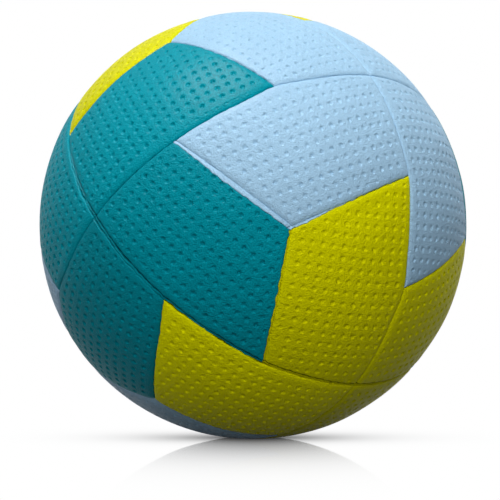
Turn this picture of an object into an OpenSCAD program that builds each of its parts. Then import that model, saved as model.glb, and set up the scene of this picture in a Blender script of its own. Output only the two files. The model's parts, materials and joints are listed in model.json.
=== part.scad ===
// A size 1 handball, blown up. Its cover is 24 four-sided panels in three colours, sewn edge to
// edge over foam pads and cloth backings, round an air bladder with a needle valve.
//
// The pattern is that of the 24 turns of a cube. Three long seams run right round the ball at
// right angles to each other and cross at six points, and four panels of one colour meet at each
// crossing. In the middle of each eighth of the ball three colours meet, and three short seams
// run from there to the long seams, all turning the same way round.
//
// Every panel is the first one, laid with one crossing on +X, and turned to its place.

/* [Ball] */
// Diameter of the blown up ball over the middle of a panel
ball_d = 162.4; // [146:0.4:190]
// Turn of the ball about X as it lies, in degrees
lie_roll = -44.3; // [-180:0.1:180]
// Turn of the ball about Y as it lies, in degrees
lie_pitch = -4.9; // [-90:0.1:90]
// Turn of the ball about Z as it lies, in degrees
lie_turn = -135.3; // [-180:0.1:180]

/* [Layers] */
// Thickness of the cover skin and of its turned-in edges
cover_t = 1.2; // [0.8:0.1:1.6]
// Thickness of the foam pads
foam_t = 2; // [1.6:0.1:3]
// Thickness of the cloth backings
cloth_t = 0.7; // [0.4:0.1:1.2]
// Thickness of the bladder wall
bladder_t = 0.9; // [0.6:0.1:1.5]
// Gap between one layer and the next
layer_gap = 0.1; // [0.05:0.05:0.3]

/* [Seams] */
// Angle along a long seam from a crossing to the nearer short seam, in degrees
near_angle = 30; // [26:1:38]
// Gap between the turned-in edges of two panels
seam_gap = 0.2; // [0.1:0.05:0.4]
// Radius of the rounded shoulder along each edge of a panel
shoulder_r = 5; // [4:0.25:6]
// Distance from the seam at which the shoulder stands highest
shoulder_w = 3.2; // [2.6:0.1:3.6]
// How far the shoulder's full circle would stand above the ball
shoulder_rise = 0.1; // [0.06:0.02:0.14]
// Diameter of the sewing thread
thread_d = 0.7; // [0.4:0.1:0.9]
// Depth of the thread's middle below the skin of the ball
thread_depth = 2.2; // [1.8:0.1:2.6]
// Room round the thread in its channel
thread_room = 0.1; // [0.05:0.05:0.15]
// Length left free at each end of a thread
thread_end_gap = 2; // [1.5:0.25:3]

/* [Valve] */
// Teal panel that the valve comes out through
valve_panel = 6; // [1:1:8]
// Diameter of the valve neck
neck_d = 6; // [5.4:0.2:8]
// Gap between the neck and the holes that it passes through
neck_gap = 0.25; // [0.1:0.05:0.4]
// Depth of the neck's mouth below the skin of the ball
mouth_depth = 0.6; // [0.3:0.1:1]
// Diameter of the mouth, which leads the needle in
mouth_d = 2.6; // [2.4:0.1:3.2]
// Thickness of the lip round the mouth
lip_t = 0.9; // [0.6:0.1:1.4]
// Width of the bevel on the neck's outer edge
neck_bevel = 0.4; // [0.2:0.1:0.6]
// Length of the neck inside the base disc
tail_l = 4; // [2:0.5:8]
// Diameter of the valve's base disc
base_d = 18; // [16:0.5:24]
// Thickness of the valve's base disc
base_t = 1.2; // [0.8:0.1:2]
// Diameter of the patch between the bladder and the base disc
patch_d = 28; // [25:1:36]
// Thickness of the patch
patch_t = 0.6; // [0.4:0.1:1]
// Diameter of the soft plug
plug_d = 3.8; // [3.2:0.1:4.2]
// Gap round the plug in the valve body
plug_gap = 0.05; // [0.03:0.01:0.1]
// Diameter of the needle's way through the plug
needle_d = 2; // [1.6:0.1:2.2]

/* [Hidden] */
$fn = 96;

teal_colour = [0.0, 0.5, 0.52];
blue_colour = [0.66, 0.8, 0.93];
lime_colour = [0.74, 0.76, 0.05];
foam_colour = [0.9, 0.88, 0.8];
cloth_colour = [0.93, 0.93, 0.9];
thread_colour = [0.12, 0.14, 0.15];
bladder_colour = [0.12, 0.12, 0.13];
valve_colour = [0.2, 0.2, 0.21];
plug_colour = [0.75, 0.72, 0.62];

// Each colour's crossings lie on one axis of the ball. A third of a turn about the long diagonal
// takes the teal axis, X, to the lime one, Y, and the lime one to the blue one, Z.
diagonal = [1, 1, 1];
teal_angle = 0;
lime_angle = 120;
blue_angle = 240;
copies = 8;

// Radii of the layers, from the skin inwards
ball_r = ball_d / 2;
foam_r = ball_r - cover_t - layer_gap;
cloth_r = foam_r - foam_t - layer_gap;
wall_r = cloth_r - cloth_t;
bladder_r = wall_r - layer_gap;
bladder_in_r = bladder_r - bladder_t;
patch_r = bladder_in_r - layer_gap;
base_r = patch_r - patch_t - layer_gap;

// Distances of the layers' edges from the middle of a seam
skin_edge = seam_gap / 2;
pocket_edge = skin_edge + cover_t;
pad_edge = pocket_edge + layer_gap;

// The middle of a shoulder's circle, off the seam's middle, and the cut that leaves the shoulder
shoulder_angle = shoulder_w / ball_r * 180 / PI;
shoulder_at = ball_r - shoulder_r + shoulder_rise;
cut_end = ball_r + shoulder_r;
corner_run_angle = 2 * shoulder_angle;

thread_r = thread_d / 2;
thread_way_r = thread_r + thread_room;
thread_at = ball_r - thread_depth;
thread_end_angle = thread_end_gap / thread_at * 180 / PI;
thread_way_end_angle = (thread_end_gap - thread_room) / thread_at * 180 / PI;

neck_r = neck_d / 2;
neck_top = ball_r - mouth_depth;
neck_bottom = base_r - base_t - tail_l;
hole_r = neck_r + neck_gap;
plug_top = neck_top - lip_t;
reach = 2 * ball_d;

function unit(v) = v / norm(v);

// Corners of the first panel, in order round it: a crossing, the far end of its long side, the
// middle of the eighth, and the far end of its short side. The valve is at the panel's middle.
crossing = [1, 0, 0];
far_point = [sin(near_angle), cos(near_angle), 0];
middle = unit(diagonal);
near_point = [cos(near_angle), 0, sin(near_angle)];
corners = [crossing, far_point, middle, near_point];
panel_centre = unit(crossing + far_point + middle + near_point);

// Angles that the quarter of a long seam and a short seam span
quarter_angle = 90;
short_angle = acos(middle * near_point);

// How far the thread's channel runs past the start and the end of each side of a panel. It stops
// short of the crossings and of the short seams' ends, and runs out where a long seam goes on.
way_runs = [
    [-thread_way_end_angle, corner_run_angle],
    [-thread_way_end_angle, -thread_way_end_angle],
    [-thread_way_end_angle, -thread_way_end_angle],
    [corner_run_angle, -thread_way_end_angle]
];

// Lays its children from the plane of X and Y into the plane of a seam, with X on the seam's
// start and Z towards the panel
module along_seam(start, end) {
    across = unit(cross(start, end));
    ahead = cross(across, start);
    multmatrix([
        [start.x, ahead.x, across.x, 0],
        [start.y, ahead.y, across.y, 0],
        [start.z, ahead.z, across.z, 0]
    ]) children();
}

// Repeats its children along each of the first panel's four sides
module each_side() {
    for (i = [0 : 3]) along_seam(corners[i], corners[(i + 1) % 4]) children();
}

// Turns the first panel to place k of a colour, on the ball as it lies. Places 1 to 4 go round
// one crossing and 5 to 8 round the opposite one.
module place(colour_angle, k) {
    rotate([lie_roll, lie_pitch, lie_turn])
        rotate(a = colour_angle, v = diagonal)
            rotate([quarter_angle * (k - 1), 0, 0])
                rotate([0, 0, k > copies / 2 ? 180 : 0])
                    children();
}

// Lays its children from Z out through the middle of the first panel
module at_valve() {
    rotate([0, acos(panel_centre.z), atan2(panel_centre.y, panel_centre.x)]) children();
}

module ball_shell(outer_r, inner_r) {
    difference() {
        sphere(r = outer_r);
        sphere(r = inner_r);
    }
}

// All that lies past the line that runs beside a seam at a distance, inside the panel
module beyond(edge) {
    translate([-reach, -reach, edge - reach]) cube([2 * reach, 2 * reach, reach]);
}

// Sweeps a profile along side i of the first panel, from before its start to after its end
module sweep_side(i, before, after) {
    start = corners[i];
    end = corners[(i + 1) % 4];
    along_seam(start, end) rotate([0, 0, -before])
        rotate_extrude(angle = acos(start * end) + before + after) children();
}

// Section of what the rounding takes off a panel beside a seam
module shoulder_section() {
    difference() {
        polygon([
            [shoulder_at * cos(shoulder_angle), shoulder_at * sin(shoulder_angle)],
            [shoulder_at * cos(shoulder_angle), -skin_edge],
            [cut_end, -skin_edge],
            [cut_end, cut_end * tan(shoulder_angle)]
        ]);
        translate([shoulder_at * cos(shoulder_angle), shoulder_at * sin(shoulder_angle)])
            circle(r = shoulder_r);
    }
}

// Rounds its child off along side i
module round_side(i) {
    difference() {
        children();
        sweep_side(i, corner_run_angle, corner_run_angle) shoulder_section();
    }
}

// A panel's skin with its edges turned in at the seams, before the rounding
module folded_skin() {
    difference() {
        ball_shell(ball_r, wall_r);
        each_side() beyond(skin_edge);
        difference() {
            sphere(r = ball_r - cover_t);
            each_side() beyond(pocket_edge);
        }
        for (i = [0 : 3]) sweep_side(i, way_runs[i][0], way_runs[i][1])
            translate([thread_at, 0]) circle(r = thread_way_r);
    }
}

// One cover panel, open to the inside, where the pad and the cloth lie
module cover_panel() {
    round_side(0) round_side(1) round_side(2) round_side(3) folded_skin();
}

module pad(outer_r, inner_r) {
    difference() {
        ball_shell(outer_r, inner_r);
        each_side() beyond(pad_edge);
    }
}

// The hole for the valve's neck, right through the wall of the ball
module valve_hole() {
    at_valve() cylinder(h = reach, r = hole_r);
}

module teal_panel(k) {
    color(teal_colour) place(teal_angle, k) difference() {
        cover_panel();
        if (k == valve_panel) valve_hole();
    }
}

module blue_panel(k) {
    color(blue_colour) place(blue_angle, k) cover_panel();
}

module lime_panel(k) {
    color(lime_colour) place(lime_angle, k) cover_panel();
}

module foam_pad() {
    pad(foam_r, foam_r - foam_t);
}

module teal_foam(k) {
    color(foam_colour) place(teal_angle, k) difference() {
        foam_pad();
        if (k == valve_panel) valve_hole();
    }
}

module blue_foam(k) {
    color(foam_colour) place(blue_angle, k) foam_pad();
}

module lime_foam(k) {
    color(foam_colour) place(lime_angle, k) foam_pad();
}

module cloth_piece() {
    pad(cloth_r, wall_r);
}

module teal_cloth() {
    color(cloth_colour) for (k = [1 : copies]) place(teal_angle, k) difference() {
        cloth_piece();
        if (k == valve_panel) valve_hole();
    }
}

module blue_cloth() {
    color(cloth_colour) for (k = [1 : copies]) place(blue_angle, k) cloth_piece();
}

module lime_cloth() {
    color(cloth_colour) for (k = [1 : copies]) place(lime_angle, k) cloth_piece();
}

// One length of thread along a seam that spans an angle
module thread_length(angle) {
    rotate([0, 0, thread_end_angle])
        rotate_extrude(angle = angle - 2 * thread_end_angle)
            translate([thread_at, 0]) circle(r = thread_r, $fn = 24);
}

// The thread that joins two colours: four quarters of a long seam and eight short seams
module thread_pair(colour_angle) {
    for (k = [1, 3, 5, 7]) place(colour_angle, k)
        along_seam(near_point, crossing)
            rotate([0, 0, near_angle - quarter_angle]) thread_length(quarter_angle);
    for (k = [1 : copies]) place(colour_angle, k)
        along_seam(middle, near_point) thread_length(short_angle);
}

module teal_blue_thread() {
    color(thread_colour) thread_pair(teal_angle);
}

module blue_lime_thread() {
    color(thread_colour) thread_pair(blue_angle);
}

module lime_teal_thread() {
    color(thread_colour) thread_pair(lime_angle);
}

module bladder() {
    color(bladder_colour) place(teal_angle, valve_panel) difference() {
        ball_shell(bladder_r, bladder_in_r);
        valve_hole();
    }
}

// A disc of the ball's own curve, round the valve
module curved_disc(outer_r, thickness, d) {
    intersection() {
        ball_shell(outer_r, outer_r - thickness);
        at_valve() cylinder(h = reach, d = d);
    }
}

module valve_patch() {
    color(bladder_colour) place(teal_angle, valve_panel) difference() {
        curved_disc(patch_r, patch_t, patch_d);
        valve_hole();
    }
}

module valve_body() {
    color(valve_colour) place(teal_angle, valve_panel) difference() {
        union() {
            curved_disc(base_r, base_t, base_d);
            at_valve() translate([0, 0, neck_bottom])
                cylinder(h = neck_top - neck_bevel - neck_bottom, r = neck_r);
            at_valve() translate([0, 0, neck_top - neck_bevel])
                cylinder(h = neck_bevel, r1 = neck_r, r2 = neck_r - neck_bevel);
        }
        at_valve() translate([0, 0, neck_bottom - tail_l])
            cylinder(h = plug_top - neck_bottom + tail_l, d = plug_d + 2 * plug_gap);
        at_valve() cylinder(h = reach, d = mouth_d);
    }
}

module valve_plug() {
    color(plug_colour) place(teal_angle, valve_panel) at_valve() translate([0, 0, neck_bottom])
        difference() {
            cylinder(h = plug_top - plug_gap - neck_bottom, d = plug_d);
            translate([0, 0, -tail_l]) cylinder(h = reach, d = needle_d);
        }
}

teal_panel(1);  // teal_panel_1
teal_panel(2);  // teal_panel_2
teal_panel(3);  // teal_panel_3
teal_panel(4);  // teal_panel_4
teal_panel(5);  // teal_panel_5
teal_panel(6);  // teal_panel_6
teal_panel(7);  // teal_panel_7
teal_panel(8);  // teal_panel_8
blue_panel(1);  // blue_panel_1
blue_panel(2);  // blue_panel_2
blue_panel(3);  // blue_panel_3
blue_panel(4);  // blue_panel_4
blue_panel(5);  // blue_panel_5
blue_panel(6);  // blue_panel_6
blue_panel(7);  // blue_panel_7
blue_panel(8);  // blue_panel_8
lime_panel(1);  // lime_panel_1
lime_panel(2);  // lime_panel_2
lime_panel(3);  // lime_panel_3
lime_panel(4);  // lime_panel_4
lime_panel(5);  // lime_panel_5
lime_panel(6);  // lime_panel_6
lime_panel(7);  // lime_panel_7
lime_panel(8);  // lime_panel_8
teal_foam(1);  // teal_foam_1
teal_foam(2);  // teal_foam_2
teal_foam(3);  // teal_foam_3
teal_foam(4);  // teal_foam_4
teal_foam(5);  // teal_foam_5
teal_foam(6);  // teal_foam_6
teal_foam(7);  // teal_foam_7
teal_foam(8);  // teal_foam_8
blue_foam(1);  // blue_foam_1
blue_foam(2);  // blue_foam_2
blue_foam(3);  // blue_foam_3
blue_foam(4);  // blue_foam_4
blue_foam(5);  // blue_foam_5
blue_foam(6);  // blue_foam_6
blue_foam(7);  // blue_foam_7
blue_foam(8);  // blue_foam_8
lime_foam(1);  // lime_foam_1
lime_foam(2);  // lime_foam_2
lime_foam(3);  // lime_foam_3
lime_foam(4);  // lime_foam_4
lime_foam(5);  // lime_foam_5
lime_foam(6);  // lime_foam_6
lime_foam(7);  // lime_foam_7
lime_foam(8);  // lime_foam_8
teal_cloth();
blue_cloth();
lime_cloth();
teal_blue_thread();
blue_lime_thread();
lime_teal_thread();
bladder();
valve_body();
valve_plug();
valve_patch();
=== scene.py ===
"""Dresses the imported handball: 24 dimpled cover panels with folded seams, the layers behind
them, the valve, and a white studio stage."""
import json
import math

import bpy
import numpy as np
from mathutils import Euler, Matrix, Vector

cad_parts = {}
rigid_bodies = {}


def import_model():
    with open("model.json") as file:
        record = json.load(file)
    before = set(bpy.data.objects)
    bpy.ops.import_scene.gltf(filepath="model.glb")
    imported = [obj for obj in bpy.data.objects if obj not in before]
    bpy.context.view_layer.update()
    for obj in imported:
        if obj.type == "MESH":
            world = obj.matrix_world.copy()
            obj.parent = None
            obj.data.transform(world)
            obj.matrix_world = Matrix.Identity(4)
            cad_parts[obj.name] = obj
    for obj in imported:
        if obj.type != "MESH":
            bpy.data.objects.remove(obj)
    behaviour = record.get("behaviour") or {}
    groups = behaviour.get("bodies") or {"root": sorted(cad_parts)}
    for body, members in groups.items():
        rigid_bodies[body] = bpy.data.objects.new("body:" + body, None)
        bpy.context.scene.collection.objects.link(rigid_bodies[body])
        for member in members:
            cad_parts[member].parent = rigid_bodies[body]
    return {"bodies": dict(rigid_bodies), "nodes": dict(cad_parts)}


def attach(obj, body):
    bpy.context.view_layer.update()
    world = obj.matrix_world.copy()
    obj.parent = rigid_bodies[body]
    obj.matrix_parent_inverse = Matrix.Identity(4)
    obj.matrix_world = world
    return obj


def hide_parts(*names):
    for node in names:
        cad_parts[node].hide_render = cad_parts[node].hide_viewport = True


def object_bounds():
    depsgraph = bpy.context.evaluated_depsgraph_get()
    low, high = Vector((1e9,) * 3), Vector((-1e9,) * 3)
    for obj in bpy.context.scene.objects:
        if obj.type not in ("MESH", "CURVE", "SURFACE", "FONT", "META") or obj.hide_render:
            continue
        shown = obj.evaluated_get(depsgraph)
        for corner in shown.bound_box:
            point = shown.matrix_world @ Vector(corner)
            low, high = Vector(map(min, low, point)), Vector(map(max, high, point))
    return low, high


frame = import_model()

bl_info = {
    "name": "Sewn handball",
    "version": (1, 0, 0),
    "blender": (4, 5, 0),
    "location": "View3D > Sidebar > Handball",
    "description": "Cover panels, inner layers, valve and stage of a sewn handball",
    "category": "Add Mesh",
}

CAD_BOX = [list(corner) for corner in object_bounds()]
BODY = next(iter(frame["bodies"]))
MM = 0.001

# The ball's pattern. The teal crossings lie on its X axis, the lime ones on Y and the blue ones
# on Z, and every panel is the first one, which has a crossing on X, turned to its place. The
# whole pattern is turned round X, Y and Z, in degrees, to lie as in the photograph.
CROSSING_AXES = {"teal": 0, "lime": 1, "blue": 2}
COLOUR_TURNS = {"teal": 0, "lime": 120, "blue": 240}
PLACES = range(1, 9)
DIAGONAL = (1, 1, 1)
STEPS_ROUND = 12
JOINT_STEP = 2 * math.pi / STEPS_ROUND
LIE_TURNS = (-44.3, -4.9, -135.3)
LIE = np.array(Euler([math.radians(degrees) for degrees in LIE_TURNS]).to_matrix())
VALVE_PANEL = ("teal", 6)

# Where the boundary of two panels lies past the bottom of their groove, in mm. A long seam's
# key is its axis and where its stretch starts, in steps of 30 degrees round it. A short seam
# belongs to the panel that it is the short inner side of, and has three numbers: how far that
# panel reaches over its neighbour at the long seam, halfway, and at the middle of the eighth.
LONG_SHIFTS = {
    (2, -1): -0.7, (2, 0): -1.0, (2, 1): -0.45, (2, 2): 0.0,
    (1, -1): 0.1, (1, 0): 0.0, (1, 1): 0.1, (1, 2): 0.0, (1, 3): 0.1,
    (0, -1): 0.0, (0, 0): 0.1, (0, 1): 0.1, (0, 2): 0.0, (0, 3): 0.1,
}
SHORT_SHIFTS = {
    ("teal", 1): (-1.0, -2.1, -1.7),
    ("lime", 1): (0.9, 0.9, 0.7),
    ("blue", 1): (0.1, 0.0, 1.0),
    ("teal", 2): (0.2, 0.2, 0.1), ("teal", 3): (0.0, 0.1, 0.0), ("teal", 4): (0.1, 0.2, 0.0),
    ("blue", 2): (0.1, 0.0, 0.0), ("blue", 4): (0.0, 0.1, 0.0), ("lime", 4): (0.1, 0.2, 0.0),
    ("lime", 2): (0.0, 0.0, 0.1), ("lime", 8): (0.1, 0.0, 0.0), ("blue", 8): (0.0, 0.1, 0.0),
}

# The seams that the camera doesn't see are shifted at random, by up to so many mm.
HIDDEN_SHIFT = 0.5
LONG_SHIFT_SEED, SHORT_SHIFT_SEED = 50, 1000

# The long seam round this axis is sewn looser than the others, and the panels on one side of
# it have a bead along their edge. The closed seams have a share of its crease's depth, and
# painted shade takes a share of the brightness from the crease behind the bead.
LOOSE_SEAM_AXIS = 2
CLOSED_SEAM_SHARE = 0.38
BEAD_PAINTED_SHADE = 0.92

# Where the photograph shows corners of panels, in pixels, right and down. Corners are numbered
# from the crossing: far, middle and near are 1, 2, 3. The sewing has drawn these from their
# places, by no more than a limit sideways and as much up or down.
CORNER_SPOTS = {
    ("teal", 1, 1): (262.0, 361.3), ("teal", 1, 2): (289.0, 229.5), ("teal", 2, 1): (274.6, 87.3),
    ("teal", 2, 2): (169.2, 44.0), ("teal", 2, 3): (71.0, 137.0), ("teal", 3, 3): (59.0, 291.0),
    ("teal", 4, 2): (155.5, 397.6), ("teal", 4, 3): (164.3, 299.0),
    ("lime", 4, 2): (464.3, 238.0), ("lime", 4, 3): (405.2, 288.5),
    ("blue", 1, 3): (407.8, 176.0),
}
DRIFT_LIMIT, DRIFT_REACH = 1.2 * MM, 9 * MM

# One dimple of each panel that faces the camera, in pixels of the photograph, right and down.
DIMPLE_SPOTS = {
    ("teal", 1): (168.0, 214.0), ("teal", 2): (144.5, 123.5), ("teal", 3): (53.0, 216.5),
    ("teal", 4): (111.0, 290.5), ("lime", 1): (356.5, 236.5), ("lime", 2): (197.5, 382.0),
    ("lime", 4): (403.0, 338.5), ("blue", 1): (297.0, 149.0), ("blue", 2): (431.5, 161.0),
    ("blue", 4): (275.5, 30.5),
}

# Side of the photograph in pixels, and of the camera's sensor in mm.
IMAGE_SIDE = 500
SENSOR = 36.0

# Panels that are lighter or darker than the others of their colour, as a share. On teal 2 and 3,
# which lie higher and further left, this is painted light, and on teal 4, which lies low, painted
# shade.
PANEL_TONES_AND_PAINTED_LIGHT = {("lime", 2): 1.18, ("teal", 2): 1.08, ("teal", 3): 1.08, ("teal", 4): 0.9}

# Seeds of the random waves.
SCALLOP_SEED, OPENING_SEED, PUCKER_SEED, SLACK_SEED = 11, 5, 7, 3

# How unevenly the dimples are pressed, as a share of their depth, and the steps from dimple to
# dimple that scatter it.
UNEVEN_SHARE, SCATTER = 0.15, (12.9, 78.2)

# How far the upright edge of the skin leans towards the panel's middle, as a share of the way.
LIP_LEAN = 0.005

# The mesh's points are drawn in by a share inside a dimple, which wanes over a ring round it,
# in rows.
DRAWN_SHARE, DRAWN_TO, DRAWN_FADE = 0.66, 0.28, 0.22

# How often the skin's points are moved to their seams, and a panel's corners drawn in.
MOVE_ROUNDS, INSET_ROUNDS = 6, 20

# Of the rings round a panel, from its rim inwards, the ones that are creased sharp.
SHARP_RINGS = 5

# Sides of the square lamps and their places, in metres.
LAMPS = {
    "top": (0.7, (-0.12, 0.0, 1.3)),
    "glint": (0.6, (-0.31, -0.06, 1.27)),
    "key": (1.0, (0.0, -0.9, 0.95)),
    "front": (0.8, (0.0, -1.4, 0.35)),
    "left": (0.8, (-1.3, 0.1, 0.3)),
    "rim": (0.8, (0.8, 0.9, 0.5)),
}
FLOOR_HALF = 6.0

# Box corners give the radius of the skin, because the ball's highest points touch them.
SKIN_R = min(high - low for low, high in zip(*CAD_BOX)) / 2


def colour_property(name, description, default):
    return bpy.props.FloatVectorProperty(
        name=name, description=description, default=default, subtype="COLOR", size=3,
        min=0.0, max=1.0)


def length_property(name, description, default):
    return bpy.props.FloatProperty(
        name=name, description=description, default=default, unit="LENGTH", precision=5)


def power_property(name, description, default):
    return bpy.props.FloatProperty(
        name=name, description=description, default=default, unit="POWER")


def number_property(name, description, default):
    return bpy.props.FloatProperty(
        name=name, description=description, default=default, unit="NONE")


class HandballSizes(bpy.types.PropertyGroup):
    """Sizes of the cover's relief, grain and turned-in edges, and of its mesh"""

    skin_r: length_property("Skin radius", "Radius of the ball over the panels", SKIN_R)
    cover_t: length_property("Cover thickness", "Thickness of the cover skin", 1.2 * MM)
    wall_t: length_property("Wall thickness", "Depth of the turned-in edges", 4.1 * MM)
    fold_gap: length_property("Fold gap", "Turned-in edge to the seam's middle", 0.5 * MM)
    lip_gap: length_property("Lip gap", "Edge of the skin to the boundary", 0.05 * MM)
    lip_d: length_property("Lip depth", "Height of the upright edge of the skin", 0.5 * MM)
    throat_d: length_property("Throat depth", "Skin to the narrow part of a seam", 3.0 * MM)
    groove_d: length_property("Groove depth", "Depth of the groove at a seam", 0.85 * MM)
    groove_w: length_property("Groove half width", "Seam to the flat of a panel", 3.0 * MM)
    crown_d: length_property("Crown", "How much lower a panel's borders lie", 0.2 * MM)
    crown_w: length_property("Crown width", "How far in the borders run", 7.0 * MM)
    crease_d: length_property("Crease depth", "Depth of the crease over the stitches", 0.6 * MM)
    crease_w: length_property("Crease half width", "Half width of the crease", 0.36 * MM)
    edge_d: length_property("Edge drop", "Depth of the rolled edge of the skin", 0.6 * MM)
    edge_w: length_property("Edge roll", "Width of the rolled edge of the skin", 0.34 * MM)
    bead_w: length_property("Bead width", "Width of the bead along the loose seam", 1.0 * MM)
    bead_d: length_property("Bead crease depth", "Crease behind the bead", 0.95 * MM)
    bead_crease_w: length_property("Bead crease half width", "Half the crease's width", 0.54 * MM)
    dimple_pitch: length_property("Dimple pitch", "Distance between dimples", 4.17 * MM)
    dimple_r: length_property("Dimple radius", "Radius of a dimple's rim", 1.02 * MM)
    dimple_wall: length_property("Dimple wall", "Width of a dimple's sloping wall", 0.6 * MM)
    teal_dimple: length_property("Teal dimples", "Depth of the teal skin's dimples", 0.7 * MM)
    blue_dimple: length_property("Blue dimples", "Depth of the blue skin's dimples", 0.46 * MM)
    lime_dimple: length_property("Lime dimples", "Depth of the lime skin's dimples", 0.56 * MM)
    dimple_margin: length_property("Dimple margin", "Seam to the first dimples", 1.5 * MM)
    dimple_fade: length_property("Dimple fade", "First dimples to the deep ones", 1.5 * MM)
    pucker: length_property("Pucker", "Height of the small puckers at the seams", 0.07 * MM)
    pucker_wave: length_property("Pucker wave", "Length of the puckers", 3.2 * MM)
    pucker_w: length_property("Pucker width", "How far in the puckers run", 2.2 * MM)
    slack: length_property("Slack", "Height of the broad waves of the panels", 0.08 * MM)
    slack_wave: length_property("Slack wave", "Length of the broad waves", 24 * MM)
    slack_w: length_property("Slack margin", "Seam to the waves' full height", 6 * MM)
    scallop: length_property("Scallop", "How far the stitches draw a boundary in", 0.14 * MM)
    scallop_wave: length_property("Scallop wave", "Length of the scallops", 3.6 * MM)
    loose_gap: length_property("Loose gap", "Most that the loose seam opens a side", 0.22 * MM)
    loose_wave: length_property("Loose wave", "Length of the loose seam's openings", 14 * MM)
    follow_w: length_property("Follow", "How far in a shifted boundary moves the skin", 5 * MM)
    pocket_gap: length_property("Pocket gap", "Turned-in edge past the skin's thickness", 0.1 * MM)
    long_side: length_property("Long side", "Rough length of a panel, for its mesh", 69 * MM)
    short_side: length_property("Short side", "Rough width of a panel, for its mesh", 48 * MM)
    step: length_property("Mesh step", "Distance between points of a panel", 0.3 * MM)
    fine_step: length_property("Edge step", "Distance between points at an edge", 0.08 * MM)
    seam_step: length_property("Seam step", "Distance between points at a seam", 0.14 * MM)
    seam_zone: length_property("Seam zone", "Width of the strip of seam steps", 2.6 * MM)
    near_angle: bpy.props.FloatProperty(
        name="Near angle", description="From a crossing to the nearer short seam",
        default=math.radians(30), subtype="ANGLE", unit="ROTATION")
    dimple_turn: bpy.props.FloatProperty(
        name="Dimple turn", description="Turn of the dimple rows from the panel's inner side",
        default=math.radians(-4), subtype="ANGLE", unit="ROTATION")
    teal_grain: length_property("Teal grain", "Depth of the grain of the teal skin", 0.52 * MM)
    blue_grain: length_property("Blue grain", "Depth of the grain of the blue skin", 0.36 * MM)
    lime_grain: length_property("Lime grain", "Depth of the grain of the lime skin", 0.48 * MM)
    # Painted shade in the seams: the skin's colour darkens from the first depth below the ball's
    # round form to the second.
    painted_seam_shade_top: length_property("Seam shade top", "Depth where the seams' grime starts", 1.24 * MM)
    painted_seam_shade_full: length_property("Seam shade full", "Depth where it is thickest", 1.84 * MM)
    hole_r: length_property("Valve hole", "Radius of the hole for the valve's neck", 3.25 * MM)


class HandballColours(bpy.types.PropertyGroup):
    """Colours of the ball's materials"""

    teal: colour_property("Teal", "Teal cover panels", (0.0, 0.279, 0.355))
    blue: colour_property("Light blue", "Light blue cover panels", (0.375, 0.6, 0.8))
    lime: colour_property("Lime", "Lime cover panels", (0.71, 0.695, 0.0))
    foam: colour_property("Foam", "Foam pads behind the cover", (0.72, 0.68, 0.56))
    cloth: colour_property("Cloth", "Cloth backings", (0.75, 0.74, 0.69))
    thread: colour_property("Thread", "Sewing thread", (0.015, 0.02, 0.022))
    rubber: colour_property("Rubber", "Bladder, patch and valve body", (0.012, 0.012, 0.013))
    plug: colour_property("Plug", "Soft plug in the valve", (0.35, 0.29, 0.2))


class HandballStage(bpy.types.PropertyGroup):
    """Camera, lamps and floor, set after the photograph"""

    lens: bpy.props.FloatProperty(
        name="Lens", description="Focal length on a 36 mm sensor", default=215.4,
        unit="CAMERA")
    elevation: bpy.props.FloatProperty(
        name="Elevation", description="How far the camera looks down",
        default=math.radians(4), subtype="ANGLE", unit="ROTATION")
    distance: length_property("Distance", "Camera to the ball's middle", 1.1382)
    right: length_property("Right", "Ball's middle to the right of the view's", 1.13 * MM)
    up: length_property("Up", "Ball's middle above the view's", 9.32 * MM)
    top_power: power_property("Top lamp", "Power of the soft lamp overhead", 10.8)
    key_power: power_property("Key lamp", "Power of the soft lamp high in front", 10.0)
    front_power: power_property("Front lamp", "Power of the lamp above the camera", 6.0)
    left_power: power_property("Left lamp", "Power of the lamp at the left", 3.0)
    glint_power: power_property("Glint lamp", "Power of the lamp that only the gloss shows", 50.0)
    rim_power: power_property("Rim lamp", "Power of the lamp behind at the right", 7.4)
    world: number_property("World", "Strength of the light from all round", 0.0)
    mirror: number_property("Mirror", "Share that the floor mirrors under the ball", 0.78)
    mirror_reach: length_property("Mirror reach", "How far out the floor mirrors", 52 * MM)
    mirror_fall: number_property("Mirror fall", "Power of the mirroring's fall", 1.7)
    # The floor's shadow round the ball is painted in the shade colour: it fades with the distance
    # from the ball, and is flatter in depth than in width.
    shadow_reach: length_property("Shadow reach", "How far out the shadow runs", 33 * MM)
    shadow_fall: number_property("Shadow fall", "Power of the shadow's fall", 1.6)
    shadow_flat: number_property("Shadow flatness", "Its width over its depth", 2.8)
    shade: colour_property("Shade", "Floor in the ball's shadow", (0.1, 0.13, 0.16))


def unit(vector):
    vector = np.asarray(vector, float)
    return vector / np.linalg.norm(vector, axis=-1, keepdims=True)


def turn(degrees, axis):
    return np.array(Matrix.Rotation(math.radians(degrees), 3, Vector(axis)))


def place_on_ball(colour, place):
    """Turn that takes the first panel to its place in the ball's pattern."""
    flip = turn(180 if place > 4 else 0, (0, 0, 1))
    quarter = turn(90 * (place - 1), (1, 0, 0))
    return turn(COLOUR_TURNS[colour], DIAGONAL) @ quarter @ flip


def first_corners(near_angle):
    """Corners of the first panel: a crossing, the far end of its long side, the middle of the
    eighth, and the far end of its short side."""
    near, far = math.cos(near_angle), math.sin(near_angle)
    return np.array([(1, 0, 0), (far, near, 0), unit(DIAGONAL), (near, 0, far)])


def side_normals(corners):
    """Normals of the planes of the four sides, pointing into the panel."""
    return np.array([unit(np.cross(corners[i], corners[(i + 1) % 4])) for i in range(4)])


def between(start, end, share):
    return start + (end - start) * share


def rise(x):
    """Smooth step from 0 to 1."""
    x = np.clip(x, 0.0, 1.0)
    return x * x * (3 - 2 * x)


def roll(x):
    """Drop of a rounded edge: 1 at the edge, falling to 0 at x = 1 as a quarter circle."""
    x = np.clip(x, 0.0, 1.0)
    return 1 - np.sqrt(1 - (1 - x) ** 2)


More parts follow.
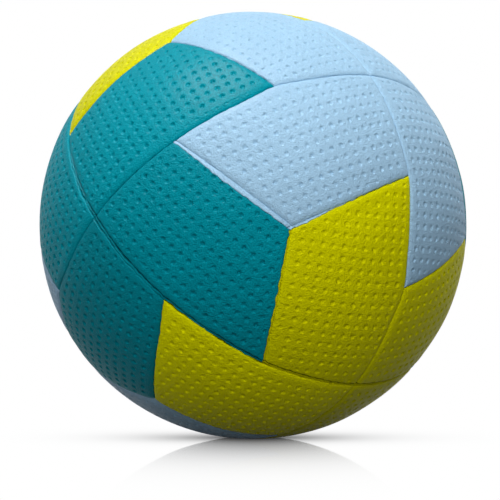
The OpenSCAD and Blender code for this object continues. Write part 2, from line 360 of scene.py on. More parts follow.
def waves(points, length, seed, count=9):
    """Smooth random field of about -1 to 1 on points, with waves of about a given length."""
    draw = np.random.default_rng(seed)
    total = np.zeros(len(points))
    for _ in range(count):
        way = unit(draw.normal(size=3)) * draw.uniform(0.7, 1.4) * 2 * math.pi / length
        total += np.sin(points @ way + draw.uniform(0, 2 * math.pi))
    return total / math.sqrt(count)


def spaced(length, sizes):
    """Places from 0 to 1 along a length, close at both ends and even between."""
    ends = [sizes.fine_step]
    while ends[-1] < sizes.step:
        most = sizes.seam_step if sum(ends) < sizes.seam_zone else sizes.step
        ends.append(min(ends[-1] * 1.25, most))
    middle = length - 2 * sum(ends)
    count = math.ceil(middle / sizes.step)
    steps = ends + [middle / count] * count + ends[::-1]
    return np.concatenate([[0.0], np.cumsum(steps) / length])


def long_shift(axis, step):
    """Shift of one stretch of a long seam, along its axis, in mm."""
    half_round = STEPS_ROUND // 2
    step = (step + half_round) % STEPS_ROUND - half_round
    if (axis, step) in LONG_SHIFTS:
        return LONG_SHIFTS[axis, step]
    draw = np.random.default_rng(100 * axis + step + LONG_SHIFT_SEED)
    return draw.uniform(-HIDDEN_SHIFT, HIDDEN_SHIFT)


def along_long_seam(axis, angle):
    """Shift of a long seam at angles round its axis, in mm."""
    place = angle / JOINT_STEP - 0.5
    start = np.floor(place).astype(int)
    first = start.min()
    shifts = np.array([long_shift(axis, step) for step in range(first, start.max() + 2)])
    start_shift, end_shift = shifts[start - first], shifts[start - first + 1]
    return between(start_shift, end_shift, rise(place - start))


def own_short_shifts(colour, place):
    """The three shifts of a panel's own short seam, before its end is met by the others."""
    if (colour, place) in SHORT_SHIFTS:
        return np.array(SHORT_SHIFTS[colour, place])
    draw = np.random.default_rng(SHORT_SHIFT_SEED + 10 * CROSSING_AXES[colour] + place)
    return draw.uniform(-HIDDEN_SHIFT, HIDDEN_SHIFT, 3)


def short_shifts():
    """The three shifts of every short seam. Where three seams meet, their shifts cancel out,
    so that the three panels' corners meet in one point."""
    meeting = {}
    for colour in CROSSING_AXES:
        for place in PLACES:
            middle = place_on_ball(colour, place) @ DIAGONAL
            meeting.setdefault(tuple(np.sign(middle)), []).append((colour, place))
    shifts = {}
    for panels in meeting.values():
        own = {panel: own_short_shifts(*panel) for panel in panels}
        spare = sum(values[2] for values in own.values()) / len(own)
        for panel, values in own.items():
            shifts[panel] = values - (0, 0, spare)
    return shifts


def seam_owner(corner, sizes):
    """The panel whose short inner side ends at a point of the ball's pattern."""
    near = first_corners(sizes.near_angle)[3]
    ends = {(c, k): place_on_ball(c, k) @ near for c in CROSSING_AXES for k in PLACES}
    return min(ends, key=lambda panel: np.linalg.norm(ends[panel] - corner))


def camera_pose():
    """Turn and place of the photograph's camera, which looks along Y and a little down."""
    stage = bpy.context.scene.handball_stage
    tilt = Euler((math.pi / 2 - stage.elevation, 0, 0)).to_matrix()
    return tilt, tilt @ Vector((-stage.right, -stage.up, stage.distance))


def on_sensor(pixel):
    """Where a pixel lies to the right and up from the sensor's middle, in mm."""
    right, down = (np.array(pixel) / IMAGE_SIDE - 0.5) * SENSOR
    return np.array([right, -down])


def seen_spot(pixel, radius):
    """Direction on the ball, as its pattern lies, of what the camera sees at a pixel."""
    tilt, eye = camera_pose()
    lens = bpy.context.scene.handball_stage.lens
    ray = (tilt @ Vector((*on_sensor(pixel), -lens))).normalized()
    halfway = -eye.dot(ray)
    depth = halfway - math.sqrt(halfway ** 2 - eye.length_squared + radius ** 2)
    return LIE.T @ np.array(eye + ray * depth) / radius


def drift_to(pixel, spot):
    """How far a spot of the ball has to move to the right and up to be seen at a pixel."""
    stage = bpy.context.scene.handball_stage
    tilt, eye = camera_pose()
    right, up, ahead = tilt.transposed() @ (Vector(LIE @ spot) - eye)
    drawn = np.array([right, up]) * stage.lens / -ahead
    drift = (on_sensor(pixel) - drawn) * stage.distance / stage.lens
    return np.clip(drift, -DRIFT_LIMIT, DRIFT_LIMIT)


def corner_drifts(sizes):
    """Direction of each corner that the photograph shows, and its drift to the right and up."""
    drifts = []
    for (colour, place, corner), pixel in CORNER_SPOTS.items():
        panel = Panel(colour, place, sizes)
        skin, _ = panel.shape_skin(panel.corners[corner][None])
        drifts.append((panel.seat @ panel.corners[corner], drift_to(pixel, skin[0])))
    return drifts


def sewing_drift(on_ball, drifts, skin_r):
    """How the sewing moves directions on the ball."""
    moves = np.zeros_like(on_ball)
    for spot, (right, up) in drifts:
        out = LIE @ spot
        back = -(right * out[0] + up * out[2]) / out[1]
        move = LIE.T @ np.array([right, back, up]) / skin_r
        near = np.exp(-((on_ball - spot) ** 2).sum(axis=1) / (DRIFT_REACH / skin_r) ** 2)
        moves += near[:, None] * move
    return moves


class Panel:
    """One panel of the cover: its place, its sides and the relief of its skin. A short side
    comes with the corner at its outer end, and the sign of its own shift."""

    LONG_SIDES = (0, 3)
    SHORT_SIDES = ((1, 1, -1), (2, 3, 1))

    def __init__(self, colour, place, sizes):
        self.colour, self.place, self.sizes = colour, place, sizes
        self.seat = place_on_ball(colour, place)
        self.corners = first_corners(sizes.near_angle)
        self.normals = side_normals(self.corners)
        self.centre = unit(self.corners.sum(axis=0))
        inner = self.corners[2] - self.corners[3]
        along = unit(inner - inner @ self.centre * self.centre)
        across = np.cross(self.centre, along)
        cos, sin = math.cos(sizes.dimple_turn), math.sin(sizes.dimple_turn)
        self.row_ways = np.array([along * cos + across * sin, across * cos - along * sin])
        facing = self.normals @ self.seat.T
        loose = abs(facing).argmax(axis=1) == LOOSE_SEAM_AXIS
        loose &= np.isin(np.arange(4), self.LONG_SIDES)
        beaded = loose & (facing[:, LOOSE_SEAM_AXIS] > 0)
        self.edge_share = np.where(loose, 1, CLOSED_SEAM_SHARE)
        self.crease_share = np.where(beaded, 0, self.edge_share)
        self.bead_share = np.where(beaded, 1, 0)
        draw = np.random.default_rng(10 * CROSSING_AXES[colour] + place)
        self.start = draw.uniform(0, 1, 2)
        if (colour, place) in DIMPLE_SPOTS:
            spot = seen_spot(DIMPLE_SPOTS[colour, place], sizes.skin_r) @ self.seat
            self.start = self.start - self.rows(spot[None])[0]

    def inside(self, points):
        """Distance of each point from each side, positive inside."""
        return np.arcsin(np.clip(points @ self.normals.T, -1, 1)) * self.sizes.skin_r

    def reaches(self, points):
        """How far the panel reaches past each of its sides beside each point."""
        sizes = self.sizes
        reach = np.zeros((len(points), 4))
        on_ball = points @ self.seat.T
        where = on_ball * sizes.skin_r
        scallop = sizes.scallop * waves(where, sizes.scallop_wave, SCALLOP_SEED)
        for side in self.LONG_SIDES:
            out = self.seat @ self.normals[side]
            axis = int(np.argmax(abs(out)))
            angle = np.arctan2(on_ball[:, (axis + 2) % 3], on_ball[:, (axis + 1) % 3])
            shift = along_long_seam(axis, angle) * MM
            reach[:, side] = -np.sign(out[axis]) * (shift + scallop)
            if axis == LOOSE_SEAM_AXIS:
                opening = rise(0.5 + 0.5 * waves(where, sizes.loose_wave, OPENING_SEED))
                reach[:, side] -= sizes.loose_gap * opening
        shifts = short_shifts()
        for side, outer, sign in self.SHORT_SIDES:
            owner = seam_owner(self.seat @ self.corners[outer], sizes)
            whole = math.acos(self.corners[outer] @ self.corners[2])
            share = 1 - np.arccos(np.clip(points @ self.corners[2], -1, 1)) / whole
            start, half, end = shifts[owner]
            shift = between(between(start, half, rise(2 * share)), end, rise(2 * share - 1))
            reach[:, side] = sign * (shift * MM + scallop)
        return reach

    def shape_skin(self, points, drifts=()):
        """Skin points with their relief, from directions that cover the panel evenly, and how
        much of the crease behind a bead each has, from 0 to 1."""
        sizes = self.sizes
        inside = self.inside(points)
        reach = self.reaches(points) - sizes.lip_gap
        follow = 1 - rise(inside / sizes.follow_w)
        target = (inside - reach * follow) / sizes.skin_r
        moved = self.gather(points, inside.min(axis=1))
        for _ in range(MOVE_ROUNDS):
            for side, normal in enumerate(self.normals):
                short = target[:, side] - np.arcsin(moved @ normal)
                moved = unit(moved + (short * follow[:, side])[:, None] * normal)
        inside = self.inside(moved)
        edge = np.maximum(inside + reach, 0)
        behind_bead = rise(1 - abs(edge - sizes.bead_w) / sizes.bead_crease_w) * self.bead_share
        behind_bead = behind_bead.max(axis=1)
        on_ball = moved @ self.seat.T
        drop = self.drop(moved, inside, edge, on_ball) + sizes.bead_d * behind_bead
        on_ball = unit(on_ball + sewing_drift(on_ball, drifts, sizes.skin_r))
        return on_ball * (sizes.skin_r - drop)[:, None], behind_bead

    def drop(self, moved, inside, edge, on_ball):
        """How far the skin lies below the ball's round form, but for the bead."""
        sizes = self.sizes
        groove = roll(abs(inside) / sizes.groove_w)
        groove = sizes.groove_d * (groove ** 3).sum(axis=1) ** (1 / 3)
        crease = roll(abs(inside) / sizes.crease_w) * self.crease_share
        crease = sizes.crease_d * crease.max(axis=1)
        crown = sizes.crown_d * np.exp(-inside.clip(0) / sizes.crown_w).max(axis=1)
        rolled = roll(edge / sizes.edge_w) * self.edge_share
        rolled = sizes.edge_d * rolled.max(axis=1)
        where = on_ball * sizes.skin_r
        nearest = inside.min(axis=1)
        pucker = waves(where, sizes.pucker_wave, PUCKER_SEED)
        pucker *= np.exp(-abs(nearest) / sizes.pucker_w)
        slack = 1 + waves(where, sizes.slack_wave, SLACK_SEED)
        slack *= rise(nearest / sizes.slack_w)
        uneven = sizes.pucker * pucker + sizes.slack * slack
        return groove + crease + crown + rolled + uneven + self.dimples(moved, nearest)

    def rows(self, directions):
        """Where directions lie along and across the rows of dimples."""
        reach = np.arccos(np.clip(directions @ self.centre, -1, 1)) * self.sizes.skin_r
        flat = directions - (directions @ self.centre)[:, None] * self.centre
        flat = flat / np.maximum(np.linalg.norm(flat, axis=1), 1e-9)[:, None]
        return (flat * reach[:, None]) @ self.row_ways.T / self.sizes.dimple_pitch + self.start

    def from_rows(self, rows):
        """Directions of places along and across the rows of dimples."""
        flat = (rows - self.start) * self.sizes.dimple_pitch @ self.row_ways
        reach = np.linalg.norm(flat, axis=1)[:, None]
        angle = reach / self.sizes.skin_r
        return np.cos(angle) * self.centre + np.sin(angle) * flat / np.maximum(reach, 1e-9)

    def gather(self, points, nearest):
        """Draws the mesh's points together at the dimples, where the skin bends most."""
        rows = self.rows(points)
        cell = np.round(rows)
        offset = rows - cell
        away = np.linalg.norm(offset, axis=1)
        drawn = between(DRAWN_SHARE, 1, rise((away - DRAWN_TO) / DRAWN_FADE))
        drawn = between(1, drawn, self.fade(nearest))
        return self.from_rows(cell + offset * drawn[:, None])

    def fade(self, nearest):
        """Share of a dimple's depth at a distance from the nearest seam."""
        return rise((nearest - self.sizes.dimple_margin) / self.sizes.dimple_fade)

    def dimples(self, moved, nearest):
        """Depth of the square rows of dimples, which fade towards the seams."""
        sizes = self.sizes
        rows = self.rows(moved)
        cell = np.round(rows)
        away = np.linalg.norm(rows - cell, axis=1) * sizes.dimple_pitch
        uneven = 1 - UNEVEN_SHARE + UNEVEN_SHARE * np.sin(cell @ SCATTER)
        hollow = rise((sizes.dimple_r - away) / sizes.dimple_wall)
        deepest = getattr(sizes, f"{self.colour}_dimple")
        return deepest * uneven * self.fade(nearest) * hollow

    def inset_corners(self, inset):
        """Corners of the panel drawn in by a distance from all its sides."""
        corners = self.corners.copy()
        target = math.sin(inset / self.sizes.skin_r)
        for _ in range(INSET_ROUNDS):
            for i in range(4):
                for normal in (self.normals[i], self.normals[i - 1]):
                    corners[i] += normal * (target - corners[i] @ normal)
            corners = unit(corners)
        return corners


def grid_directions(corners, us, vs):
    """Directions on a grid over a panel: u along its long side, v across."""
    u, v = np.meshgrid(us, vs, indexing="ij")
    near = between(corners[0], corners[1], u[..., None])
    far = between(corners[3], corners[2], u[..., None])
    return unit(between(near, far, v[..., None])).reshape(-1, 3)


def rim_directions(corners, us, vs):
    """Directions round the rim of a panel, at the same places as the grid's own rim."""
    us, vs = us[:, None], vs[:, None]
    return unit(np.concatenate([
        between(corners[0], corners[1], us[:-1]),
        between(corners[1], corners[2], vs[:-1]),
        between(corners[3], corners[2], us[:0:-1]),
        between(corners[0], corners[3], vs[:0:-1]),
    ]))


def rim_indices(nu, nv):
    """Indices of the grid's points round its rim, in the order of rim_directions."""
    grid = np.arange(nu * nv).reshape(nu, nv)
    return np.concatenate([grid[:-1, 0], grid[-1, :-1], grid[:0:-1, -1], grid[0, :0:-1]])


def ring_faces(upper, lower):
    """Faces between two rings of as many points."""
    return np.stack([upper, lower, np.roll(lower, -1), np.roll(upper, -1)], axis=1)


def mesh_object(name, points, quads, triangles=()):
    """A smooth mesh object from arrays of points and faces."""
    mesh = bpy.data.meshes.new(name)
    corner_counts = [4] * len(quads) + [3] * len(triangles)
    corners = np.concatenate([np.ravel(quads), np.ravel(triangles)]).astype(np.int32)
    mesh.vertices.add(len(points))
    mesh.vertices.foreach_set("co", np.ravel(points).astype(np.float32))
    mesh.loops.add(len(corners))
    mesh.loops.foreach_set("vertex_index", corners)
    mesh.polygons.add(len(corner_counts))
    starts = np.concatenate([[0], np.cumsum(corner_counts)[:-1]]).astype(np.int32)
    mesh.polygons.foreach_set("loop_start", starts)
    mesh.update(calc_edges=True)
    mesh.shade_smooth()
    obj = bpy.data.objects.new(name, mesh)
    bpy.context.scene.collection.objects.link(obj)
    return obj


def inner_rings(panel, us, vs):
    """Rings of points down a panel's turned-in edges, and in over its inner face."""
    sizes = panel.sizes
    inner_r = sizes.skin_r - sizes.cover_t
    deep_r = sizes.skin_r - sizes.wall_t
    pocket = sizes.cover_t + sizes.pocket_gap
    walls = [(sizes.fold_gap, sizes.skin_r - sizes.throat_d), (sizes.fold_gap, deep_r),
             (pocket, deep_r), (pocket, inner_r)]
    rings = []
    for inset, radius in walls:
        corners = panel.inset_corners(inset) @ panel.seat.T
        rings.append(rim_directions(corners, us, vs) * radius)
    for share in (0.2, 0.4, 0.6, 0.8):
        drawn_in = unit(between(corners, panel.seat @ panel.centre, share))
        rings.append(rim_directions(drawn_in, us, vs) * inner_r)
    return rings


def panel_mesh(name, panel, drifts):
    """The closed mesh of a panel: its skin, its turned-in edges and its inner face."""
    sizes = panel.sizes
    us, vs = spaced(sizes.long_side, sizes), spaced(sizes.short_side, sizes)
    skin, behind_bead = panel.shape_skin(grid_directions(panel.corners, us, vs), drifts)
    rim = rim_indices(len(us), len(vs))
    centre = panel.seat @ panel.centre
    edge_r = np.linalg.norm(skin[rim], axis=1)[:, None]
    lip = unit(between(unit(skin[rim]), centre, LIP_LEAN)) * (edge_r - sizes.lip_d)
    layers = [skin, lip, *inner_rings(panel, us, vs)]
    rings = [rim]
    start = len(skin)
    for layer in layers[1:]:
        rings.append(np.arange(start, start + len(layer)))
        start += len(layer)
    inner_middle = centre * (sizes.skin_r - sizes.cover_t)
    points = np.concatenate(layers + [[inner_middle]])
    grid = np.arange(len(skin)).reshape(len(us), len(vs))
    quads = [np.stack([grid[:-1, :-1], grid[1:, :-1], grid[1:, 1:], grid[:-1, 1:]], axis=-1)
             .reshape(-1, 4)]
    quads += [ring_faces(upper, lower) for upper, lower in zip(rings, rings[1:])]
    last = rings[-1]
    fan = np.stack([last, np.full(len(last), start), np.roll(last, -1)], axis=1)
    obj = mesh_object(name, points @ LIE.T, np.concatenate(quads), fan)
    sharpen(obj.data, rings[:SHARP_RINGS])
    # The tone attribute holds each panel's tone, which paints light on two teal panels and shade
    # on a third, times the painted shade behind the bead.
    tone = obj.data.attributes.new("tone", "FLOAT", "POINT")
    shade = np.full(len(points), PANEL_TONES_AND_PAINTED_LIGHT.get((panel.colour, panel.place), 1.0), np.float32)
    # Painted shade: the skin's colour darkens in the crease behind the bead.
    shade[:len(skin)] *= 1 - BEAD_PAINTED_SHADE * behind_bead
    tone.data.foreach_set("value", shade)
    return obj


def sharpen(mesh, rings):
    """Marks the edges along rings of points as sharp."""
    on_ring = np.full(len(mesh.vertices), -1)
    for number, ring in enumerate(rings):
        on_ring[ring] = number
    ends = np.empty(2 * len(mesh.edges), dtype=np.int32)
    mesh.edges.foreach_get("vertices", ends)
    first, second = on_ring[ends.reshape(-1, 2)].T
    sharp = mesh.attributes.new("sharp_edge", "BOOLEAN", "EDGE")
    sharp.data.foreach_set("value", (first >= 0) & (first == second))


class Number:
    """A socket that varies over a surface. Arithmetic on it adds Math nodes."""

    def __init__(self, finish, socket):
        self.finish, self.socket = finish, socket

    def math(self, operation, *values):
        return self.finish.node(
            "ShaderNodeMath", {"operation": operation}, dict(enumerate((self, *values))))

    def reflected(self, operation, other):
        return self.finish.node(
            "ShaderNodeMath", {"operation": operation}, {0: other, 1: self})

    def __add__(self, other):
        return self.math("ADD", other)

    __radd__ = __add__

    def __mul__(self, other):
        return self.math("MULTIPLY", other)

    __rmul__ = __mul__

    def __sub__(self, other):
        return self.math("SUBTRACT", other)

    def __rsub__(self, other):
        return self.reflected("SUBTRACT", other)

    def __truediv__(self, other):
        return self.math("DIVIDE", other)

    def __rtruediv__(self, other):
        return self.reflected("DIVIDE", other)

    def __pow__(self, other):
        return self.math("POWER", other)

    def __rpow__(self, other):
        return self.reflected("POWER", other)


class Finish:
    """The nodes of a material or world under construction."""

    def __init__(self, owner):
        owner.use_nodes = True
        self.owner, self.tree = owner, owner.node_tree
        self.tree.nodes.clear()

    def node(self, kind, settings=None, values=None, output=0):
        """Adds a node. Its settings come first, then its sockets' values or links."""
        node = self.tree.nodes.new(kind)
        for key, setting in (settings or {}).items():
            if key == "stops":
                self.set_stops(node.color_ramp, setting)
            else:
                setattr(node, key, setting)
        for key, value in (values or {}).items():
            if isinstance(value, Number):
                self.tree.links.new(value.socket, node.inputs[key])
            else:
                node.inputs[key].default_value = value
        return Number(self, node.outputs[output]) if node.outputs else None

    def set_stops(self, ramp, stops):
        while len(ramp.elements) < len(stops):
            ramp.elements.new(1.0)
        for element, (position, colour) in zip(ramp.elements, stops):
            element.position, element.color = position, colour

    def place(self):
        return self.node("ShaderNodeTexCoord", output="Object")

    def length(self, vector):
        return self.node("ShaderNodeVectorMath", {"operation": "LENGTH"}, {0: vector}, "Value")

    def fade(self, reach, power):
        """Fall from 1 towards 0 over a reach of about 1, as a bell if the power is near 2."""
        return math.e ** (reach ** power * -1)

    def distance(self):
        """Distance from the object's origin."""
        return self.length(self.place())

    def noise(self, scale, detail=2.0, roughness=0.5, distortion=0.0):
        return self.node("ShaderNodeTexNoise", {}, {
            "Vector": self.place(), "Scale": scale, "Detail": detail,
            "Roughness": roughness, "Distortion": distortion}, "Fac")

    def cells(self, scale, feature="F1"):
        return self.node("ShaderNodeTexVoronoi", {"feature": feature}, {
            "Vector": self.place(), "Scale": scale}, "Distance")

    def ramp(self, value, *stops):
        """Maps a number through straight stretches between (place, grey) stops."""
        return self.node("ShaderNodeValToRGB", {
            "stops": [(at, (grey, grey, grey, 1)) for at, grey in stops]}, {"Fac": value})

    def blend(self, way, factor, first, second):
        """Mixes two colours by a Mix node's blend type."""
        return self.node("ShaderNodeMix", {"data_type": "RGBA", "blend_type": way}, {
            0: factor, 6: first, 7: second}, 2)

    def bump(self, height, depth, strength=1.0):
        return self.node("ShaderNodeBump", {}, {
            "Height": height, "Distance": depth, "Strength": strength})

    def surface(self, values):
        """A Principled shader on the material's output."""
        shader = self.node("ShaderNodeBsdfPrincipled", {}, values)
        self.node("ShaderNodeOutputMaterial", {}, {"Surface": shader})


def opaque(colour):
    return (*colour, 1.0)


def cover_finish(name, colour, grain_d, sizes):
    """Soft synthetic leather: fine grain, faint blotches, a dry sheen, and painted shade where the
    skin goes down into the seams."""
    finish = Finish(bpy.data.materials.new(name))
    blotch = finish.noise(38.0, 3.0)
    speckle = finish.noise(1400.0, 2.0, 0.6)
    tone = 0.79 + 0.12 * blotch + 0.3 * speckle
    # Painted shade: the colour darkens where the skin lies deep below the ball's round form, in
    # the seams' creases.
    depth = sizes.skin_r - finish.distance()
    # Each point's tone: the panels' tones, with painted light and shade on some teal panels, and
    # painted shade in the crease behind the bead.
    painted_light_and_tone = finish.node("ShaderNodeAttribute", {"attribute_name": "tone"}, output="Fac")
    sunk = (depth - sizes.painted_seam_shade_top) / (sizes.painted_seam_shade_full - sizes.painted_seam_shade_top)
    painted_seam_shade = finish.ramp(sunk, (0.0, 1.0), (1.0, 0.35))
    grain = finish.noise(2000.0, 1.0)
    pores = finish.cells(1000.0)
    finish.surface({
        "Base Color": finish.blend("MULTIPLY", 1.0, opaque(colour), tone * painted_seam_shade * painted_light_and_tone),
        "Roughness": 0.34 + 0.12 * (speckle - 0.5) + 0.06 * blotch,
        "Specular IOR Level": 0.01,
        "Coat Weight": 0.06 * (0.5 + speckle),
        "Coat Roughness": 0.36,
        "Normal": finish.bump(grain + 0.25 * pores, grain_d),
    })
    return finish.owner


def foam_finish(name, colour):
    """Closed-cell foam: small round cells under a matt skin."""
    finish = Finish(bpy.data.materials.new(name))
    cells = finish.cells(900.0, "SMOOTH_F1")
    tone = 0.8 + 0.35 * cells
    finish.surface({
        "Base Color": finish.blend("MULTIPLY", 1.0, opaque(colour), tone),
        "Roughness": 0.85 + 0.1 * finish.noise(300.0),
        "Normal": finish.bump(cells, 0.25 * MM, 0.8),
    })
    return finish.owner


def cloth_finish(name, colour):
    """Plain weave of backing cloth."""
    finish = Finish(bpy.data.materials.new(name))
    weave = finish.node("ShaderNodeTexWave", {"bands_direction": "X"}, {
        "Vector": finish.place(), "Scale": 500.0, "Distortion": 0.6})
    weft = finish.node("ShaderNodeTexWave", {"bands_direction": "Z"}, {
        "Vector": finish.place(), "Scale": 500.0, "Distortion": 0.6})
    threads = weave * 0.5 + weft * 0.5
    finish.surface({
        "Base Color": finish.blend("MULTIPLY", 1.0, opaque(colour), 0.75 + 0.3 * threads),
        "Roughness": 0.9 + 0.05 * finish.noise(200.0),
        "Sheen Weight": 0.2,
        "Normal": finish.bump(threads, 0.12 * MM, 0.8),
    })
    return finish.owner


def thread_finish(name, colour):
    """Waxed twisted thread."""
    finish = Finish(bpy.data.materials.new(name))
    twist = finish.node("ShaderNodeTexWave", {"bands_direction": "DIAGONAL"}, {
        "Vector": finish.place(), "Scale": 900.0, "Distortion": 1.0})
    finish.surface({
        "Base Color": finish.blend("MULTIPLY", 1.0, opaque(colour), 0.6 + 0.8 * twist),
        "Roughness": 0.45 + 0.2 * finish.noise(600.0),
        "Normal": finish.bump(twist, 0.1 * MM, 0.9),
    })
    return finish.owner


def rubber_finish(name, colour):
    """Moulded rubber with a faint bloom."""
    finish = Finish(bpy.data.materials.new(name))
    bloom = finish.noise(120.0, 4.0, 0.6)
    fine = finish.noise(2200.0, 2.0)
    finish.surface({
        "Base Color": finish.blend("MULTIPLY", 1.0, opaque(colour), 0.7 + 0.7 * bloom),
        "Roughness": 0.42 + 0.25 * bloom,
        "Normal": finish.bump(fine, 0.04 * MM, 0.6),
    })
    return finish.owner


def dress(node_names, material):
    """Gives carried-over nodes a material."""
    if not node_names:
        raise RuntimeError(f"The frame has no nodes for {material.name}")
    for name in node_names:
        obj = frame["nodes"][name]
        obj.data.materials.clear()
        obj.data.materials.append(material)


def cover_panels(colour):
    """Builds the eight panels of one colour in place of their nodes."""
    sizes = bpy.context.scene.handball_sizes
    tint = getattr(bpy.context.scene.handball_colours, colour)
    grain_d = getattr(sizes, f"{colour}_grain")
    material = cover_finish(f"{colour}_cover", tint, grain_d, sizes)
    drifts = corner_drifts(sizes)
    for place in PLACES:
        panel = Panel(colour, place, sizes)
        obj = panel_mesh(f"{colour}_cover_{place}", panel, drifts)
        obj.data.materials.append(material)
        if (colour, place) == VALVE_PANEL:
            cut_valve_hole(obj, panel)
        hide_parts(f"{colour}_panel_{place}")
        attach(obj, BODY)


def cut_valve_hole(obj, panel):
    """Cuts the round hole for the valve's neck through the middle of a panel."""
    sizes = panel.sizes
    way = Vector(LIE @ panel.seat @ panel.centre)
    sides, half = 96, 8 * MM
    angles = np.linspace(0, 2 * math.pi, sides, endpoint=False)
    ring = np.stack([np.cos(angles), np.sin(angles)], axis=1) * sizes.hole_r
    points = [(*p, z) for z in (sizes.skin_r - half, sizes.skin_r + half) for p in ring]
    turned = np.array(points) @ np.array(way.to_track_quat("Z", "Y").to_matrix()).T
    low = np.arange(sides)
    high = low + sides
    faces = [*ring_faces(high, low).tolist(), low[::-1].tolist(), high.tolist()]
    plug = bpy.data.meshes.new("valve_hole_cutter")
    plug.from_pydata(turned.tolist(), [], faces)
    cutter = bpy.data.objects.new("valve_hole_cutter", plug)
    bpy.context.scene.collection.objects.link(cutter)
    cut = obj.modifiers.new("valve hole", "BOOLEAN")
    cut.operation, cut.solver, cut.object = "DIFFERENCE", "EXACT", cutter
    graph = bpy.context.evaluated_depsgraph_get()
    obj.data = bpy.data.meshes.new_from_object(obj.evaluated_get(graph))
    obj.modifiers.clear()
    bpy.data.objects.remove(cutter)


class HANDBALL_OT_teal_panels(bpy.types.Operator):
    """Build the eight teal cover panels"""

    bl_idname = "handball.teal_panels"
    bl_label = "Teal Panels"

    def execute(self, context):
        cover_panels("teal")
        return {"FINISHED"}


class HANDBALL_OT_blue_panels(bpy.types.Operator):
    """Build the eight light blue cover panels"""

    bl_idname = "handball.blue_panels"
    bl_label = "Light Blue Panels"

    def execute(self, context):
        cover_panels("blue")
        return {"FINISHED"}


class HANDBALL_OT_lime_panels(bpy.types.Operator):
    """Build the eight lime cover panels"""

    bl_idname = "handball.lime_panels"
    bl_label = "Lime Panels"

    def execute(self, context):
        cover_panels("lime")
        return {"FINISHED"}


class HANDBALL_OT_inner_layers(bpy.types.Operator):
    """Finish the foam pads, the cloth backings and the sewing thread"""

    bl_idname = "handball.inner_layers"
    bl_label = "Foam, Cloth and Thread"

    def execute(self, context):
        colours = context.scene.handball_colours
        names = frame["nodes"]
        foam = foam_finish("foam", colours.foam)
        dress([name for name in names if "_foam_" in name], foam)
        dress([name for name in names if name.endswith("_cloth")],
              cloth_finish("backing_cloth", colours.cloth))
        dress([name for name in names if name.endswith("_thread")],
              thread_finish("waxed_thread", colours.thread))
        return {"FINISHED"}


class HANDBALL_OT_bladder_and_valve(bpy.types.Operator):
    """Finish the bladder, its patch and the valve"""

    bl_idname = "handball.bladder_and_valve"
    bl_label = "Bladder and Valve"

    def execute(self, context):
        colours = context.scene.handball_colours
        dress(["bladder", "valve_patch", "valve_body"],
              rubber_finish("black_rubber", colours.rubber))
        dress(["valve_plug"], rubber_finish("soft_plug", colours.plug))
        return {"FINISHED"}


def seen_rays(finish):
    """1 for rays that see the background: the camera's, and those that mirror or pass
    through."""
    camera, mirrored, through = (
        finish.node("ShaderNodeLightPath", output=f"Is {kind} Ray")
        for kind in ("Camera", "Glossy", "Transmission"))
    return camera.math("MAXIMUM", mirrored).math("MAXIMUM", through)


def floor_finish(stage):
    """White gloss floor with a painted shadow and a reflection, which fade with the distance from
    the ball.
    """
    finish = Finish(bpy.data.materials.new("white_floor"))
    wide = finish.node("ShaderNodeVectorMath", {"operation": "MULTIPLY"}, {
        0: finish.place(), 1: (1, stage.shadow_flat, 1)})
    dark = finish.node("ShaderNodeBsdfDiffuse", {}, {"Color": (0.06, 0.06, 0.06, 1)})
    shade = finish.node("ShaderNodeBsdfDiffuse", {}, {"Color": opaque(stage.shade)})
    white = finish.node("ShaderNodeEmission", {}, {"Color": (1, 1, 1, 1)})
    mirror = finish.node("ShaderNodeBsdfGlossy", {}, {
        "Color": (1, 1, 1, 1), "Roughness": 0.04})
    share = finish.fade(finish.distance() / stage.mirror_reach, stage.mirror_fall)
    open_floor = finish.node("ShaderNodeMixShader", {}, {
        0: stage.mirror * share, 1: white, 2: mirror})
    # Painted shadow: near the ball the floor shows the dark shade colour, which fades out with the
    # distance, flattened in depth.
    outside_painted_shadow = 1 - finish.fade(finish.length(wide) / stage.shadow_reach, stage.shadow_fall)
    shown = finish.node("ShaderNodeMixShader", {}, {0: outside_painted_shadow, 1: shade, 2: open_floor})
    shader = finish.node("ShaderNodeMixShader", {}, {0: seen_rays(finish), 1: dark, 2: shown})
    finish.node("ShaderNodeOutputMaterial", {}, {"Surface": shader})
    return finish.owner


def soft_lamp(name, size, power, place, glints=False):
    """A square area lamp that looks at the ball's middle. One that glints is seen only in the
    ball's gloss, and the others light it."""
    lamp = bpy.data.lights.new(name, "AREA")
    lamp.shape, lamp.size, lamp.energy = "SQUARE", size, power
    obj = bpy.data.objects.new(name, lamp)
    obj.location = place
    obj.rotation_euler = (-Vector(place)).to_track_quat("-Z", "Y").to_euler()
    obj.visible_camera = False
    obj.visible_glossy, obj.visible_diffuse = glints, not glints
    bpy.context.scene.collection.objects.link(obj)


def set_camera(stage):
    """The camera of the photograph."""
    camera = bpy.data.cameras.new("photo_camera")
    camera.lens, camera.sensor_width = stage.lens, SENSOR
    obj = bpy.data.objects.new("photo_camera", camera)
    tilt, obj.location = camera_pose()
    obj.rotation_euler = tilt.to_euler()
    bpy.context.scene.collection.objects.link(obj)
    bpy.context.scene.camera = obj


def set_world(strength):
    """Plain white to the camera. The ball gets light of the given strength from it."""
    finish = Finish(bpy.data.worlds.new("studio"))
    weak, white = (finish.node("ShaderNodeBackground", {}, {
        "Color": (1, 1, 1, 1), "Strength": level}) for level in (strength, 1.0))
    shader = finish.node("ShaderNodeMixShader", {}, {0: seen_rays(finish), 1: weak, 2: white})
    finish.node("ShaderNodeOutputWorld", {}, {"Surface": shader})
    bpy.context.scene.world = finish.owner


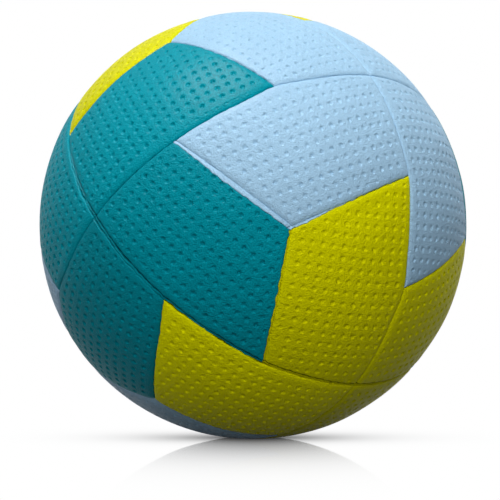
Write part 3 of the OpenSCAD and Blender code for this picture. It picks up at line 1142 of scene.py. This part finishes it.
class HANDBALL_OT_stage(bpy.types.Operator):
    """Add the white floor, the soft lamps, the world and the camera"""

    bl_idname = "handball.stage"
    bl_label = "Stage"

    def execute(self, context):
        stage = context.scene.handball_stage
        half = FLOOR_HALF
        corners = [(-half, -half, 0), (half, -half, 0), (half, half, 0), (-half, half, 0)]
        floor = mesh_object("floor", np.array(corners), np.array([(0, 1, 2, 3)]))
        floor.location.z = CAD_BOX[0][2]
        floor.data.materials.append(floor_finish(stage))
        for name, (size, place) in LAMPS.items():
            power = getattr(stage, f"{name}_power")
            soft_lamp(f"{name}_lamp", size, power, place, glints=name == "glint")
        set_world(stage.world)
        set_camera(stage)
        context.scene.view_settings.view_transform = "Standard"
        return {"FINISHED"}


OPERATORS = (
    HANDBALL_OT_teal_panels,
    HANDBALL_OT_blue_panels,
    HANDBALL_OT_lime_panels,
    HANDBALL_OT_inner_layers,
    HANDBALL_OT_bladder_and_valve,
    HANDBALL_OT_stage,
)


class HANDBALL_PT_panel(bpy.types.Panel):
    """Sidebar panel with the sizes, the colours and the pieces"""

    bl_idname = "HANDBALL_PT_panel"
    bl_label = "Handball"
    bl_space_type = "VIEW_3D"
    bl_region_type = "UI"
    bl_category = "Handball"

    def draw(self, context):
        for group in ("handball_sizes", "handball_colours", "handball_stage"):
            settings = getattr(context.scene, group)
            column = self.layout.column()
            for name in settings.__annotations__:
                column.prop(settings, name)
        for operator in OPERATORS:
            self.layout.operator(operator.bl_idname)


GROUPS = {
    "handball_sizes": HandballSizes,
    "handball_colours": HandballColours,
    "handball_stage": HandballStage,
}
CLASSES = (*GROUPS.values(), *OPERATORS, HANDBALL_PT_panel)


def register():
    for cls in CLASSES:
        bpy.utils.register_class(cls)
    for name, group in GROUPS.items():
        setattr(bpy.types.Scene, name, bpy.props.PointerProperty(type=group))


def unregister():
    for name in GROUPS:
        delattr(bpy.types.Scene, name)
    for cls in reversed(CLASSES):
        bpy.utils.unregister_class(cls)


def main():
    register()
    bpy.ops.handball.teal_panels()
    bpy.ops.handball.blue_panels()
    bpy.ops.handball.lime_panels()
    bpy.ops.handball.inner_layers()
    bpy.ops.handball.bladder_and_valve()
    bpy.ops.handball.stage()


if __name__ == "__main__":
    main()
